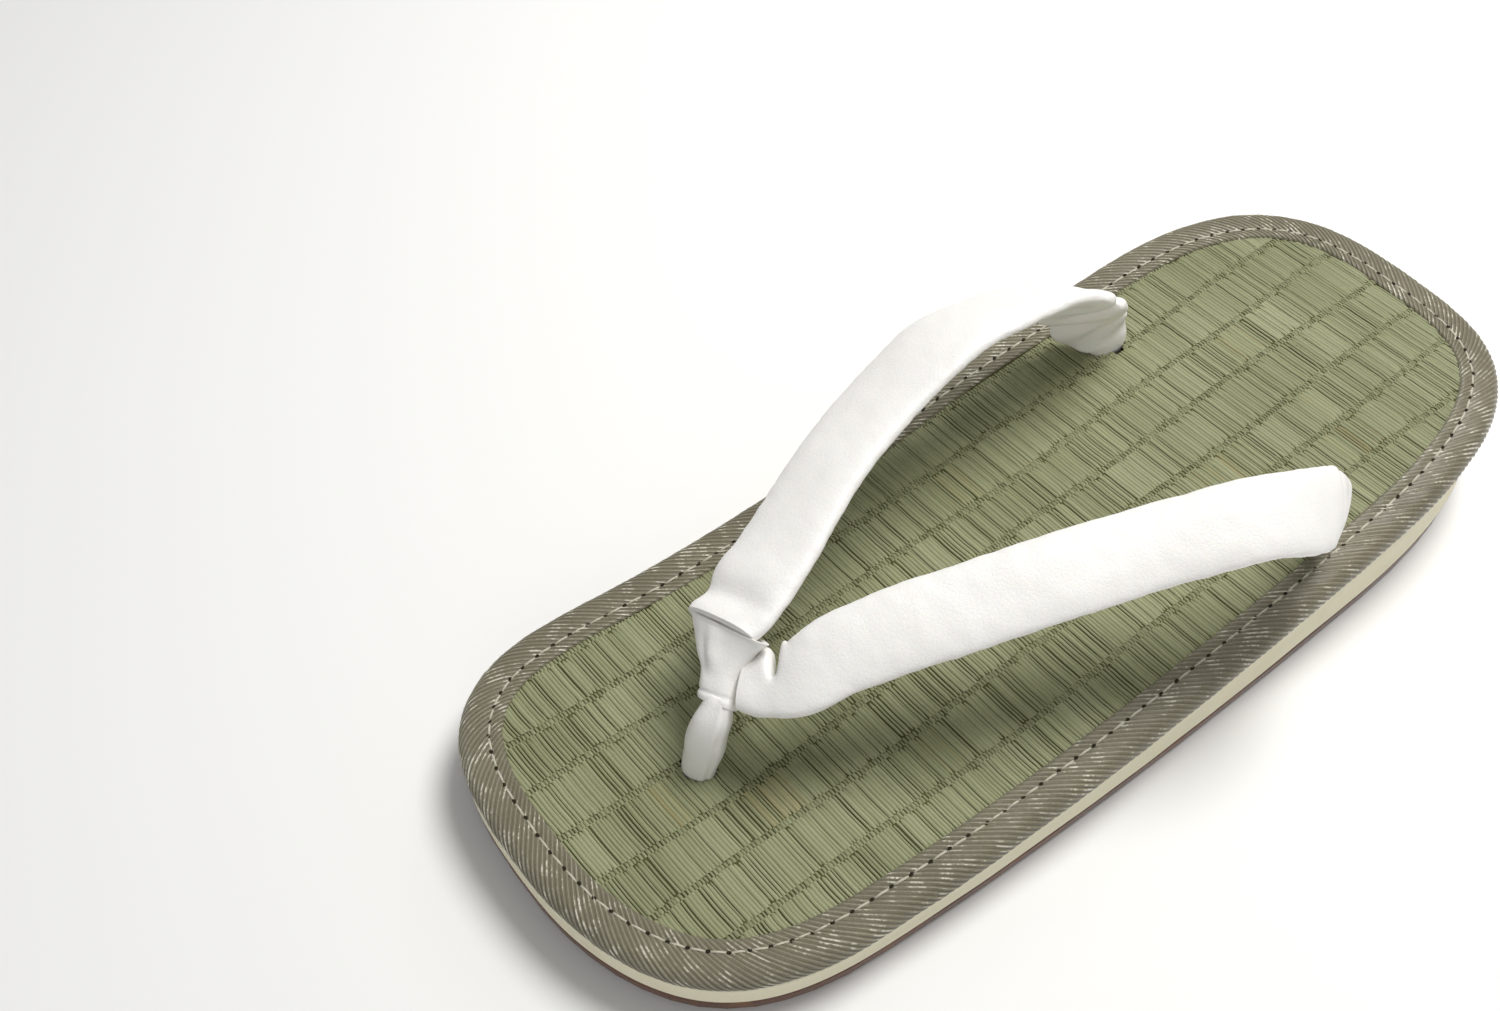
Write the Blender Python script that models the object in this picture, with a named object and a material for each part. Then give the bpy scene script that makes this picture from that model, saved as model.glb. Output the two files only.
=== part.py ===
# Rush mat sandal for the left foot.
# Metres. The heel to toe line runs along +Y, the inner side of the foot is +X, the floor is Z = 0.

import math

import bmesh
import bpy
from mathutils import Vector

# Plan of the sandal
SANDAL_LENGTH = 0.266
SANDAL_WIDTH = 0.104
TOE_CAP_START = 0.80
TOE_CAP_POWER = 2.55
HEEL_CAP_START = 0.325
HEEL_CAP_POWER = 2.95
CAP_STEPS = 13
SIDE_STEPS = 14

# Gap left between pieces that touch
CLEARANCE = 0.0003

# Outsole
OUTSOLE_INSET = 0.0004
OUTSOLE_THICKNESS = 0.0045
TOE_SPRING = 0.0022
TOE_SPRING_START = 0.80
RIM_WIDTH = 0.0085
RIM_GROOVE_WIDTH = 0.0014
RIM_GROOVE_DEPTH = 0.0013
FIELD_DEPTH = 0.0008
EDGE_ROUND = 0.0014

# Forefoot bars
BAR_COUNT = 3
BAR_LENGTH = 0.060
BAR_WIDTH = 0.0105
BAR_PITCH = 0.016
BAR_TILT = math.radians(-5)
BAR_CORNER = 0.0035
BAR_ROW_STATION = 0.673
BAR_ROW_SHIFT = -0.004

# Toe marks pressed into the rim
DASH_COUNT = 8
DASH_LENGTH = 0.0080
DASH_WIDTH = 0.0018
DASH_DEPTH = 0.0009
DASH_PITCH = 0.0117

# Pads of the forefoot, waist and heel
PAD_BAND_INSET = 0.0105
HEEL_PAD_BAND = 0.0125
HEEL_PAD_END = 0.262
HEEL_PLATE_GAP = 0.0015
HEEL_GROOVE_WIDTH = 0.0048
HEEL_GROOVE_DEPTH = 0.0016
FOREFOOT_RIB_INSET = 0.0165
FOREFOOT_RIB_WIDTH = 0.0028

# Foam wedge
MIDSOLE_INSET = 0.0022
WEDGE_TOE = 0.0048
WEDGE_HEEL = 0.0200
MIDSOLE_WAIST = 0.0004

# Mat board and its binding
BINDING_HEIGHT = 0.0056
TAPE_THICKNESS = 0.0007
TAPE_TOP_WIDTH = 0.0095
TAPE_UNDER_WIDTH = 0.0065

# Strap
STRAP_WIDTH = 0.0200
STRAP_THICKNESS = 0.0052
STRAP_HEIGHT = 0.0420
STRAP_SIDES = 14
STRAP_POWER = 2.5
ARM_SUBDIVISIONS = 3
STRAP_POCKET_DEPTH = 0.0080
SLOT_GAP = 0.0004
TOE_POCKET_DEPTH = 0.0034

# Outline of the mat's binding.
# station: share of the length from heel to toe
# shift: centre line towards the inner side, share of half the width
# width: half width, share of half the width, before the round ends are taken off
OUTLINE_COLUMNS = ("station", "shift", "width")
OUTLINE_ROWS = (
    (0.000, 0.007, 1.020),
    (0.124, 0.025, 1.005),
    (0.250, 0.015, 0.992),
    (0.400, 0.009, 1.005),
    (0.550, -0.015, 0.987),
    (0.700, -0.013, 0.972),
    (0.800, 0.013, 0.968),
    (0.876, 0.051, 0.978),
    (0.951, 0.110, 1.005),
    (1.000, 0.181, 1.018),
)

# Foam wedge: share of the way from its toe height up to its heel height
WEDGE_COLUMNS = ("station", "rise")
WEDGE_ROWS = (
    (0.00, 1.00),
    (0.10, 0.94),
    (0.20, 0.79),
    (0.30, 0.62),
    (0.40, 0.47),
    (0.50, 0.33),
    (0.60, 0.19),
    (0.70, 0.09),
    (0.80, 0.03),
    (0.90, 0.005),
    (1.00, 0.00),
)

# Arms of the strap, from the slot to the fold at the toe.
# station: share of the length, across: share of half the width, height: share of the strap's
# height over the mat, width and thickness: shares of the strap's own, turn: heading of the
# section's outer edge towards the toe, tilt: how far that edge hangs, both in degrees
ARM_COLUMNS = ("station", "across", "height", "width", "thickness", "turn", "tilt")
INNER_ARM_ROWS = (
    (0.2860, 0.614, 0.00, 0.42, 0.95, 74, 0),
    (0.2870, 0.620, 0.06, 0.47, 0.95, 72, 0),
    (0.2950, 0.652, 0.15, 0.64, 0.95, 64, 10),
    (0.3100, 0.668, 0.28, 0.84, 0.92, 52, 18),
    (0.3380, 0.680, 0.53, 0.94, 0.92, 32, 24),
    (0.3680, 0.680, 0.71, 0.99, 0.95, 15, 27),
    (0.4060, 0.672, 0.825, 1.02, 1.00, 5, 27),
    (0.4420, 0.672, 0.885, 1.06, 1.00, 3, 25),
    (0.4940, 0.690, 0.905, 1.08, 1.00, 6, 22),
    (0.5690, 0.638, 0.830, 1.02, 1.00, 12, 22),
    (0.6400, 0.535, 0.774, 0.98, 1.00, 15, 23),
    (0.7110, 0.385, 0.700, 1.00, 1.00, 16, 21),
    (0.7455, 0.320, 0.662, 1.00, 1.00, 15, 19),
    (0.7725, 0.272, 0.640, 0.95, 0.98, 10, 17),
    (0.7860, 0.252, 0.640, 0.84, 0.95, 6, 16),
)
OUTER_ARM_ROWS = (
    (0.2890, -0.714, 0.00, 0.42, 0.95, 76, 0),
    (0.2900, -0.720, 0.06, 0.47, 0.95, 76, 0),
    (0.2945, -0.748, 0.15, 0.66, 0.95, 71, 10),
    (0.3050, -0.790, 0.28, 0.83, 0.92, 64, 22),
    (0.3320, -0.825, 0.53, 0.88, 0.92, 46, 30),
    (0.3610, -0.858, 0.74, 0.87, 0.96, 38, 32),
    (0.3960, -0.853, 0.888, 0.88, 1.00, 30, 28),
    (0.4360, -0.768, 0.938, 0.87, 1.00, 24, 20),
    (0.5045, -0.604, 0.890, 0.89, 1.00, 22, 17),
    (0.5800, -0.450, 0.853, 0.90, 1.00, 21, 17),
    (0.6560, -0.294, 0.780, 0.90, 1.00, 21, 17),
    (0.6960, -0.214, 0.739, 0.88, 1.00, 24, 20),
    (0.7340, -0.142, 0.687, 0.81, 1.00, 32, 24),
    (0.7620, -0.090, 0.640, 0.65, 0.97, 46, 24),
    (0.7790, 0.007, 0.605, 0.52, 0.95, 56, 20),
    (0.7900, 0.077, 0.605, 0.46, 0.90, 60, 18),
)

# Toe loop and post, from the foot of the post up over the fold.
# depth: half size front to back, share of the strap's width, as is half_width
LOOP_COLUMNS = ("station", "across", "height", "half_width", "depth", "turn")
LOOP_ROWS = (
    (0.8390, 0.035, 0.000, 0.190, 0.180, 0),
    (0.8355, 0.033, 0.167, 0.185, 0.175, 0),
    (0.8290, 0.031, 0.333, 0.188, 0.175, 2),
    (0.8215, 0.035, 0.464, 0.205, 0.190, 5),
    (0.8150, 0.062, 0.530, 0.290, 0.235, 8),
    (0.8060, 0.117, 0.600, 0.400, 0.280, 10),
    (0.7970, 0.162, 0.675, 0.430, 0.280, 11),
    (0.7910, 0.182, 0.740, 0.270, 0.190, 12),
)

# Strap holes through the mat: half sizes along and across the foot
HOLE_COLUMNS = ("name", "half_along", "half_across")
HOLE_ROWS = (
    ("inner slot", 0.0052, 0.0038),
    ("outer slot", 0.0052, 0.0038),
    ("toe hole", 0.0040, 0.0042),
)

# Raised pads of the outsole: centre, half length along the foot, half width, all as shares of
# the sandal's length and half width
PAD_COLUMNS = ("station", "across", "half_along", "half_across")
PAD_ROWS = (
    (0.864, 0.436, 0.030, 0.140),
    (0.833, 0.097, 0.012, 0.220),
    (0.868, -0.323, 0.012, 0.190),
    (0.520, 0.547, 0.075, 0.085),
    (0.330, 0.167, 0.040, 0.300),
)

COLOURS = {
    "outsole": ((0.090, 0.032, 0.012), 0.35),
    "midsole": ((0.86, 0.80, 0.62), 0.75),
    "footbed": ((0.200, 0.215, 0.105), 0.70),
    "binding_tape": ((0.270, 0.245, 0.180), 0.50),
    "strap_upper": ((0.90, 0.89, 0.86), 0.45),
}


def named(columns, row):
    return dict(zip(columns, row))


def blend(columns, rows, column, share):
    """Smooth curve through one column of a table, read at a share of its first column."""
    place = columns.index(column)
    knots = [row[0] for row in rows]
    values = [row[place] for row in rows]
    share = min(max(share, knots[0]), knots[-1])
    last = len(knots) - 1
    step = max(i for i in range(last) if knots[i] <= share)
    slopes = []
    for i in (step, step + 1):
        low = max(i - 1, 0)
        high = min(i + 1, last)
        slopes.append((values[high] - values[low]) / (knots[high] - knots[low]))
    span = knots[step + 1] - knots[step]
    t = (share - knots[step]) / span
    start = (2 * t**3 - 3 * t**2 + 1) * values[step] + (t**3 - 2 * t**2 + t) * span * slopes[0]
    end = (3 * t**2 - 2 * t**3) * values[step + 1] + (t**3 - t**2) * span * slopes[1]
    return start + end


def station_of(y):
    return y / SANDAL_LENGTH + 0.5


def y_of(station):
    return (station - 0.5) * SANDAL_LENGTH


def x_of(across):
    return across * SANDAL_WIDTH / 2


# Plan of the binding's outer edge

def centre_shift(station):
    return x_of(blend(OUTLINE_COLUMNS, OUTLINE_ROWS, "shift", station))


def side_width(station):
    return x_of(blend(OUTLINE_COLUMNS, OUTLINE_ROWS, "width", station))


def side_points():
    """Station and width share of each rung, from the heel tip to the toe tip."""
    rungs = []
    for i in range(CAP_STEPS):
        angle = math.pi / 2 * (1 - i / CAP_STEPS)
        reach = math.sin(angle) ** (2 / HEEL_CAP_POWER)
        width = max(math.cos(angle), 0.0) ** (2 / HEEL_CAP_POWER)
        rungs.append((HEEL_CAP_START * (1 - reach), width))
    for i in range(SIDE_STEPS):
        rungs.append((HEEL_CAP_START + (TOE_CAP_START - HEEL_CAP_START) * i / SIDE_STEPS, 1.0))
    for i in range(CAP_STEPS + 1):
        angle = math.pi / 2 * i / CAP_STEPS
        reach = math.sin(angle) ** (2 / TOE_CAP_POWER)
        width = max(math.cos(angle), 0.0) ** (2 / TOE_CAP_POWER)
        rungs.append((TOE_CAP_START + (1 - TOE_CAP_START) * reach, width))
    rungs[0] = (0.0, 0.0)
    rungs[-1] = (1.0, 0.0)
    return rungs


def outline(inset):
    """Closed plan outline, heel tip, inner side, toe tip, outer side, set in from the binding."""
    rungs = side_points()
    inner = []
    outer = []
    for station, width in rungs:
        half = side_width(station) * width
        inner.append(Vector((centre_shift(station) + half, y_of(station))))
        outer.append(Vector((centre_shift(station) - half, y_of(station))))
    edge = inner + outer[-2:0:-1]
    count = len(edge)
    moved = []
    for i in range(count):
        along = (edge[(i + 1) % count] - edge[i - 1]).normalized()
        moved.append(edge[i] - Vector((along.y, -along.x)) * inset)
    return moved


# Heights

def toe_spring(y):
    share = (station_of(y) - TOE_SPRING_START) / (1 - TOE_SPRING_START)
    return TOE_SPRING * max(share, 0.0) ** 2


def outsole_top(y):
    return OUTSOLE_THICKNESS + toe_spring(y)


def midsole_base(y):
    return outsole_top(y) + CLEARANCE


def midsole_top(y):
    rise = blend(WEDGE_COLUMNS, WEDGE_ROWS, "rise", station_of(y))
    return midsole_base(y) + WEDGE_TOE + (WEDGE_HEEL - WEDGE_TOE) * rise


def binding_base(y):
    return midsole_top(y) + CLEARANCE


def mat_top(y):
    return binding_base(y) + BINDING_HEIGHT - TAPE_THICKNESS - CLEARANCE


def lifted(height, offset):
    return lambda y: height(y) + offset


# Making meshes

def new_object(name, mesh, collection):
    piece = bpy.data.objects.new(name, mesh)
    collection.objects.link(piece)
    return piece


def ring(inset, height):
    return [Vector((point.x, point.y, height(point.y))) for point in outline(inset)]


def loft(name, rings, collection, closed=False):
    """Skin stacked rings of equal count; the ends are closed by rungs, or joined to each other."""
    work = bmesh.new()
    count = len(rings[0])
    rows = [[work.verts.new(point) for point in points] for points in rings]
    pairs = list(zip(rows, rows[1:]))
    if closed:
        pairs.append((rows[-1], rows[0]))
    for low, high in pairs:
        for i in range(count):
            j = (i + 1) % count
            work.faces.new((low[i], low[j], high[j], high[i]))
    if not closed:
        for row in (rows[0], rows[-1]):
            half = count // 2
            work.faces.new((row[0], row[1], row[count - 1]))
            for i in range(1, half - 1):
                work.faces.new((row[i], row[i + 1], row[count - i - 1], row[count - i]))
            work.faces.new((row[half - 1], row[half], row[half + 1]))
    return finish_mesh(name, work, collection)


def finish_mesh(name, work, collection):
    bmesh.ops.recalc_face_normals(work, faces=work.faces)
    mesh = bpy.data.meshes.new(name)
    work.to_mesh(mesh)
    work.free()
    return new_object(name, mesh, collection)


def flat_solid(name, points, low, high, collection):
    """A flat outline given a thickness from one height to another."""
    curve = bpy.data.curves.new(name, "CURVE")
    curve.dimensions = "2D"
    curve.fill_mode = "BOTH"
    curve.extrude = (high - low) / 2
    spline = curve.splines.new("POLY")
    spline.points.add(len(points) - 1)
    for target, point in zip(spline.points, points):
        target.co = (point[0], point[1], 0, 1)
    spline.use_cyclic_u = True
    holder = new_object(name + " curve", curve, collection)
    holder.location.z = (high + low) / 2
    bpy.context.view_layer.update()
    mesh = bpy.data.meshes.new_from_object(holder.evaluated_get(bpy.context.evaluated_depsgraph_get()))
    mesh.transform(holder.matrix_world)
    bpy.data.objects.remove(holder)
    work = bmesh.new()
    work.from_mesh(mesh)
    bmesh.ops.remove_doubles(work, verts=work.verts, dist=0.00001)
    bpy.data.meshes.remove(mesh)
    return finish_mesh(name, work, collection)


def rounded_bar(centre, half_length, half_width, corner, heading, corner_steps=4):
    """Outline of a bar with round corners; heading turns its long side away from +Y."""
    points = []
    corners = ((1, 1, 0), (-1, 1, 90), (-1, -1, 180), (1, -1, 270))
    for side, end, start in corners:
        for i in range(corner_steps + 1):
            angle = math.radians(start + 90 * i / corner_steps)
            x = side * (half_width - corner) + corner * math.cos(angle)
            y = end * (half_length - corner) + corner * math.sin(angle)
            points.append((
                centre[0] + x * math.cos(heading) - y * math.sin(heading),
                centre[1] + x * math.sin(heading) + y * math.cos(heading),
            ))
    return points


def oval(centre, half_along, half_across, sides=20):
    points = []
    for i in range(sides):
        angle = math.tau * i / sides
        points.append((
            centre[0] + half_across * math.cos(angle),
            centre[1] + half_along * math.sin(angle),
        ))
    return points


def join(name, pieces, collection):
    work = bmesh.new()
    for piece in pieces:
        work.from_mesh(piece.data)
        bpy.data.objects.remove(piece)
    return finish_mesh(name, work, collection)


def boolean(target, tool, operation):
    modifier = target.modifiers.new(tool.name, "BOOLEAN")
    modifier.operation = operation
    modifier.solver = "EXACT"
    modifier.object = tool
    tool.display_type = "WIRE"
    tool.hide_render = True
    apply_modifiers(target)


def apply_modifiers(target):
    bpy.context.view_layer.update()
    mesh = bpy.data.meshes.new_from_object(target.evaluated_get(bpy.context.evaluated_depsgraph_get()))
    target.modifiers.clear()
    target.data = mesh


def dress(piece):
    colour, roughness = COLOURS[piece.name]
    material = bpy.data.materials.new(piece.name)
    material.use_nodes = True
    shader = material.node_tree.nodes["Principled BSDF"]
    shader.inputs["Base Color"].default_value = (*colour, 1)
    shader.inputs["Roughness"].default_value = roughness
    shader.inputs["Metallic"].default_value = 0
    piece.data.materials.clear()
    piece.data.materials.append(material)
    piece.data.shade_smooth()
    piece.data.set_sharp_from_angle(angle=math.radians(35))


# Outsole

def shrunk_outline(inset):
    """The plan outline drawn in towards its centre line, for depths that an offset would fold."""
    half_width = SANDAL_WIDTH / 2
    half_length = SANDAL_LENGTH / 2
    points = []
    for point in outline(0.0):
        centre = centre_shift(station_of(point.y))
        x = centre + (point.x - centre) * (1 - inset / half_width)
        points.append(Vector((x, point.y * (1 - inset / half_length))))
    return points


def band_outline(near_inset, far_inset, keep):
    """Outline of the strip between two depths, on the rungs that keep() accepts."""
    near = [point for point in shrunk_outline(near_inset) if keep(point)]
    far = [point for point in shrunk_outline(far_inset) if keep(point)]
    return near + far[::-1]


def heel_order(points):
    """Turn a heel strip so that it starts on the outer side and ends on the inner side."""
    start = max(range(len(points)), key=lambda i: abs(points[i].y - points[i - 1].y)
                + abs(points[i].x - points[i - 1].x))
    return points[start:] + points[:start]


def heel_strip(inset):
    end = y_of(HEEL_PAD_END)
    return heel_order([point for point in shrunk_outline(inset) if point.y < end])


def outsole_lugs(collection):
    pieces = []
    top = OUTSOLE_THICKNESS / 2

    def add(name, points):
        pieces.append(flat_solid(name, points, 0.0, top, collection))

    for i in range(BAR_COUNT):
        x = BAR_ROW_SHIFT + (i - (BAR_COUNT - 1) / 2) * BAR_PITCH
        centre = (x, y_of(BAR_ROW_STATION))
        add("bar", rounded_bar(centre, BAR_LENGTH / 2, BAR_WIDTH / 2, BAR_CORNER, BAR_TILT))
    for row in PAD_ROWS:
        pad = named(PAD_COLUMNS, row)
        centre = (x_of(pad["across"]), y_of(pad["station"]))
        add("pad", oval(centre, pad["half_along"] * SANDAL_LENGTH, x_of(pad["half_across"])))

    outer_edge = OUTSOLE_INSET + PAD_BAND_INSET
    band_near = heel_strip(outer_edge)
    band_far = heel_strip(outer_edge + HEEL_PAD_BAND)
    add("heel band", band_near + band_far[::-1])
    add("heel plate", heel_strip(outer_edge + HEEL_PAD_BAND + HEEL_PLATE_GAP))

    rib = band_outline(
        OUTSOLE_INSET + FOREFOOT_RIB_INSET,
        OUTSOLE_INSET + FOREFOOT_RIB_INSET + FOREFOOT_RIB_WIDTH,
        lambda point: point.x < 0 and y_of(0.70) < point.y < y_of(0.845),
    )
    add("forefoot rib", rib)
    return join("outsole_lugs", pieces, collection)


def outsole_grooves(collection):
    pieces = []
    below = -OUTSOLE_THICKNESS

    path = outline(OUTSOLE_INSET + RIM_WIDTH * 0.55)
    tip = len(path) // 2
    reach = [0.0]
    for i in range(1, len(path)):
        reach.append(reach[-1] + (path[i] - path[i - 1]).length)
    for i in range(DASH_COUNT):
        place = reach[tip] + (i - (DASH_COUNT - 1) / 2) * DASH_PITCH
        step = max(k for k in range(len(path) - 1) if reach[k] <= place)
        along = path[step + 1] - path[step]
        centre = path[step] + along * ((place - reach[step]) / along.length)
        heading = math.atan2(along.y, along.x) - math.pi / 2
        points = rounded_bar(centre, DASH_LENGTH / 2, DASH_WIDTH / 2, DASH_WIDTH * 0.45, heading, 2)
        pieces.append(flat_solid("dash", points, below, DASH_DEPTH, collection))

    half_run = SANDAL_WIDTH / 2 - OUTSOLE_INSET - PAD_BAND_INSET - HEEL_PAD_BAND / 2
    for station in (0.104, 0.152):
        centre = (centre_shift(station), y_of(station))
        points = rounded_bar(centre, half_run, HEEL_GROOVE_WIDTH / 2, HEEL_GROOVE_WIDTH * 0.45,
                             math.pi / 2)
        pieces.append(flat_solid("heel groove", points, below, HEEL_GROOVE_DEPTH, collection))
    return join("outsole_grooves", pieces, collection)


def make_outsole(parts, cutters):
    def level(inset, height):
        return ring(OUTSOLE_INSET + inset, lambda y: height)

    groove_start = RIM_WIDTH
    groove_end = RIM_WIDTH + RIM_GROOVE_WIDTH
    slope = RIM_GROOVE_WIDTH * 0.25
    rings = (
        level(EDGE_ROUND * 0.3, OUTSOLE_THICKNESS),
        level(0.0, OUTSOLE_THICKNESS - EDGE_ROUND * 0.4),
        level(0.0, EDGE_ROUND),
        level(EDGE_ROUND * 0.3, EDGE_ROUND * 0.3),
        level(EDGE_ROUND, 0.0),
        level(groove_start, 0.0),
        level(groove_start + slope, RIM_GROOVE_DEPTH),
        level(groove_end - slope, RIM_GROOVE_DEPTH),
        level(groove_end, FIELD_DEPTH),
    )
    outsole = loft("outsole", rings, parts)
    boolean(outsole, outsole_lugs(cutters), "UNION")
    boolean(outsole, outsole_grooves(cutters), "DIFFERENCE")
    for vertex in outsole.data.vertices:
        vertex.co.z += toe_spring(vertex.co.y)
    return outsole


# Strap holes

def hole_centres():
    inner = named(ARM_COLUMNS, INNER_ARM_ROWS[0])
    outer = named(ARM_COLUMNS, OUTER_ARM_ROWS[0])
    toe = named(LOOP_COLUMNS, LOOP_ROWS[0])
    return [Vector((x_of(end["across"]), y_of(end["station"]))) for end in (inner, outer, toe)]


def hole_tool(name, extra, depths, collection):
    """Upright ovals at the strap's ends, from a depth in the foam up past the mat."""
    pieces = []
    for centre, row, depth in zip(hole_centres(), HOLE_ROWS, depths):
        hole = named(HOLE_COLUMNS, row)
        points = oval(centre, hole["half_along"] + extra, hole["half_across"] + extra)
        low = midsole_top(centre.y) - depth
        high = mat_top(centre.y) + BINDING_HEIGHT
        pieces.append(flat_solid(hole["name"], points, low, high, collection))
    return join(name, pieces, collection)


# Foam wedge

def make_midsole(parts, cutters):
    def middle(y):
        return (midsole_base(y) + midsole_top(y)) / 2

    rings = (
        ring(MIDSOLE_INSET, midsole_base),
        ring(MIDSOLE_INSET + MIDSOLE_WAIST, middle),
        ring(MIDSOLE_INSET, midsole_top),
    )
    midsole = loft("midsole", rings, parts)
    depths = (STRAP_POCKET_DEPTH, STRAP_POCKET_DEPTH, TOE_POCKET_DEPTH)
    boolean(midsole, hole_tool("strap_pockets", SLOT_GAP, depths, cutters), "DIFFERENCE")
    return midsole


# Mat board

def make_footbed(parts, cutters):
    wall = TAPE_THICKNESS + CLEARANCE
    radius = BINDING_HEIGHT / 2 - wall
    arc_steps = 6
    rings = [
        ring(TAPE_UNDER_WIDTH + 2 * CLEARANCE, binding_base),
        ring(TAPE_UNDER_WIDTH + 2 * CLEARANCE, lifted(binding_base, wall)),
    ]
    for i in range(arc_steps + 1):
        angle = math.pi * (i / arc_steps - 0.5)
        inset = wall + radius * (1 - math.cos(angle))
        rings.append(ring(inset, lifted(binding_base, BINDING_HEIGHT / 2 + radius * math.sin(angle))))
    rings.append(ring(TAPE_TOP_WIDTH, mat_top))
    footbed = loft("footbed", rings, parts)
    through = (BINDING_HEIGHT,) * len(HOLE_ROWS)
    boolean(footbed, hole_tool("strap_holes", SLOT_GAP, through, cutters), "DIFFERENCE")
    return footbed


def make_binding_tape(parts):
    radius = BINDING_HEIGHT / 2
    arc_steps = 6
    rings = [
        ring(TAPE_TOP_WIDTH, lifted(binding_base, BINDING_HEIGHT)),
        ring(TAPE_TOP_WIDTH * 0.6, lifted(binding_base, BINDING_HEIGHT)),
    ]
    for i in range(arc_steps + 1):
        angle = math.pi * (0.5 - i / arc_steps)
        inset = radius * (1 - math.cos(angle))
        rings.append(ring(inset, lifted(binding_base, radius * (1 + math.sin(angle)))))
    rings.append(ring(TAPE_UNDER_WIDTH, binding_base))
    rings.append(ring(TAPE_UNDER_WIDTH, lifted(binding_base, TAPE_THICKNESS)))
    inner = radius - TAPE_THICKNESS
    for i in range(arc_steps + 1):
        angle = math.pi * (i / arc_steps - 0.5)
        inset = radius - inner * math.cos(angle)
        rings.append(ring(inset, lifted(binding_base, radius + inner * math.sin(angle))))
    under_flap = lifted(binding_base, BINDING_HEIGHT - TAPE_THICKNESS)
    rings.append(ring(TAPE_TOP_WIDTH * 0.6, under_flap))
    rings.append(ring(TAPE_TOP_WIDTH, under_flap))
    return loft("binding_tape", rings, parts, closed=True)


# Strap

def section_points(centre, outward, upward, half_width, half_thickness, sides):
    points = []
    for i in range(sides):
        angle = math.tau * i / sides
        across = math.copysign(abs(math.cos(angle)) ** (2 / STRAP_POWER), math.cos(angle))
        through = math.copysign(abs(math.sin(angle)) ** (2 / STRAP_POWER), math.sin(angle))
        points.append(centre + outward * half_width * across + upward * half_thickness * through)
    return points


def skin(name, sections, collection):
    """Closed tube through sections of equal count, its ends filled."""
    work = bmesh.new()
    rows = [[work.verts.new(point) for point in points] for points in sections]
    count = len(sections[0])
    for low, high in zip(rows, rows[1:]):
        for i in range(count):
            j = (i + 1) % count
            work.faces.new((low[i], low[j], high[j], high[i]))
    work.faces.new(rows[0])
    work.faces.new(rows[-1])
    return finish_mesh(name, work, collection)


def row_curve(columns, rows, steps):
    """Rows read along a smooth curve, steps to each given row."""
    last = len(rows) - 1
    counted = [(i / last, *row) for i, row in enumerate(rows)]
    names = ("place", *columns)
    result = []
    for i in range(last * steps + 1):
        place = i / (last * steps)
        result.append({column: blend(names, counted, column, place) for column in columns})
    return result


def strap_point(row):
    y = y_of(row["station"])
    return Vector((x_of(row["across"]), y, mat_top(y) + row["height"] * STRAP_HEIGHT))


def pocket_end(section, y, depth):
    """The section drawn level at the bottom of its pocket in the foam."""
    return [Vector((point.x, point.y, midsole_top(y) - depth)) for point in section]


def make_arm(name, rows, side, depth, collection):
    """One arm; side is 1 where its outer edge faces +X and -1 where it faces -X."""
    table = row_curve(ARM_COLUMNS, rows, ARM_SUBDIVISIONS)
    centres = [strap_point(row) for row in table]
    sections = []
    for i, (row, centre) in enumerate(zip(table, centres)):
        ahead = centres[min(i + 1, len(centres) - 1)] - centres[max(i - 1, 0)]
        turn = math.radians(row["turn"])
        tilt = math.radians(row["tilt"])
        outward = Vector((side * math.cos(turn), math.sin(turn), 0)) * math.cos(tilt)
        outward.z = -math.sin(tilt)
        upward = ahead.cross(outward).normalized()
        outward = upward.cross(ahead).normalized() * (1 if upward.cross(ahead).dot(outward) > 0 else -1)
        sections.append(section_points(
            centre, outward, upward,
            row["width"] * STRAP_WIDTH / 2,
            row["thickness"] * STRAP_THICKNESS / 2,
            STRAP_SIDES,
        ))
    return skin(name, [pocket_end(sections[0], centres[0].y, depth)] + sections, collection)


def make_toe_loop(name, collection):
    table = row_curve(LOOP_COLUMNS, LOOP_ROWS, ARM_SUBDIVISIONS)
    sections = []
    for row in table:
        turn = math.radians(row["turn"])
        across = Vector((math.cos(turn), math.sin(turn), 0))
        along = Vector((-math.sin(turn), math.cos(turn), 0))
        sections.append(section_points(
            strap_point(row), across, along,
            row["half_width"] * STRAP_WIDTH, row["depth"] * STRAP_WIDTH, STRAP_SIDES,
        ))
    foot = pocket_end(sections[0], y_of(LOOP_ROWS[0][0]), TOE_POCKET_DEPTH - CLEARANCE)
    return skin(name, [foot] + sections, collection)


def make_strap(parts, cutters):
    depth = STRAP_POCKET_DEPTH - CLEARANCE
    strap = make_toe_loop("strap_upper", parts)
    boolean(strap, make_arm("inner_arm", INNER_ARM_ROWS, 1, depth, cutters), "UNION")
    boolean(strap, make_arm("outer_arm", OUTER_ARM_ROWS, -1, depth, cutters), "UNION")
    return strap


def main():
    for old in list(bpy.data.objects):
        bpy.data.objects.remove(old)
    scene = bpy.context.scene.collection
    parts = bpy.data.collections.new("rush_sandal")
    cutters = bpy.data.collections.new("cutters")
    scene.children.link(parts)
    scene.children.link(cutters)
    pieces = (
        make_outsole(parts, cutters),
        make_midsole(parts, cutters),
        make_footbed(parts, cutters),
        make_binding_tape(parts),
        make_strap(parts, cutters),
    )
    for piece in pieces:
        dress(piece)


main()
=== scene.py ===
import math
import random

import bmesh
import bpy
from mathutils import Matrix, Vector, noise


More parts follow.
